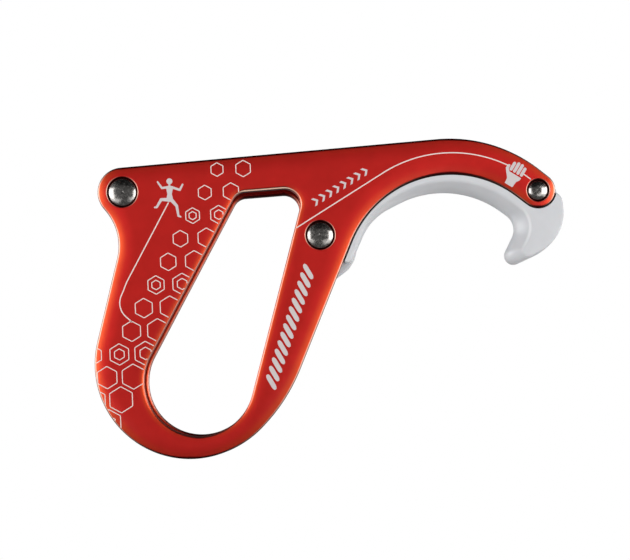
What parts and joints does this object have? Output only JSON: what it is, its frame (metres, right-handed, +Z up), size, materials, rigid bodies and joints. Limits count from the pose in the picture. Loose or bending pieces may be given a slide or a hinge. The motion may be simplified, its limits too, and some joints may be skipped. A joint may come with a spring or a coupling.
{
  "type": "assisted braking belay device",
  "caption": "Hooked belay device of slotted alloy side plates riveted over a rope channel, with a moulded thumb saddle under its arm.",
  "frame": {"origin": "centre of the round end of the carabiner slot, halfway through the thickness", "axes": "+X along the hooked arm, +Z up as the device hangs, +Y from the front plate to the rear plate"},
  "size_m": [0.1336, 0.02, 0.0915],
  "materials": {
    "anodised_alloy": "satin orange-red anodised",
    "stainless_steel": "tumbled bright",
    "sleeve_steel": "turned",
    "moulded_polyamide": "fine moulded satin"
  },
  "bodies": {
    "root": {"front_side_plate": "anodised_alloy", "rear_side_plate": "anodised_alloy", "guide_rivet": "stainless_steel", "brake_rivet": "stainless_steel", "hook_rivet": "stainless_steel", "guide_sleeve": "sleeve_steel", "brake_sleeve": "sleeve_steel", "hook_sleeve": "sleeve_steel", "hook_saddle": "moulded_polyamide"}
  },
  "joints": []
}
